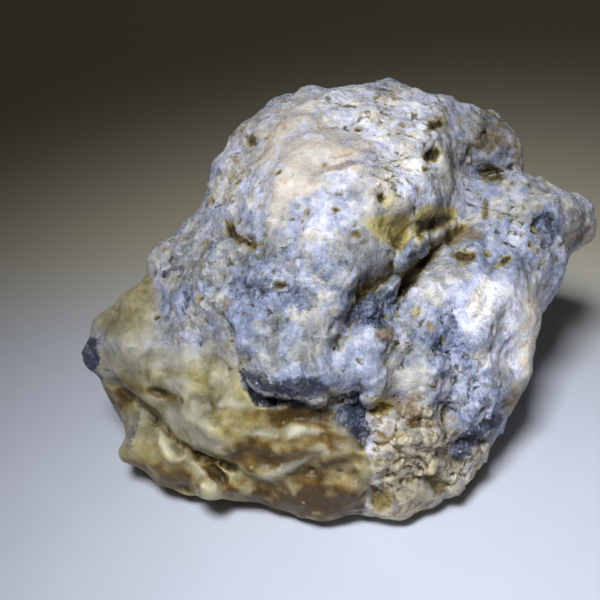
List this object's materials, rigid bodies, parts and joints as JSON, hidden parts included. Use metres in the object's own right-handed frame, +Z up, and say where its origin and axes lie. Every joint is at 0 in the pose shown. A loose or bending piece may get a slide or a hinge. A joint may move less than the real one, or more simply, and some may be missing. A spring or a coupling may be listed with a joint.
{
  "type": "ventifact",
  "caption": "Wind-worn lump of chalcedony with a frosted quartz crust, an overhanging brow, a crooked cleft and a flat resting spot.",
  "frame": {"origin": "on the ground under the middle of the stone's bounding box", "axes": "+Z up; +X to the right and -Y towards a viewer who faces the weathered face"},
  "size_m": [0.0488, 0.0378, 0.0316],
  "materials": {
    "stone": "frosted and waxy, mottled blue-grey, white, golden and black"
  },
  "bodies": {
    "root": {"stone": "stone"}
  },
  "joints": []
}
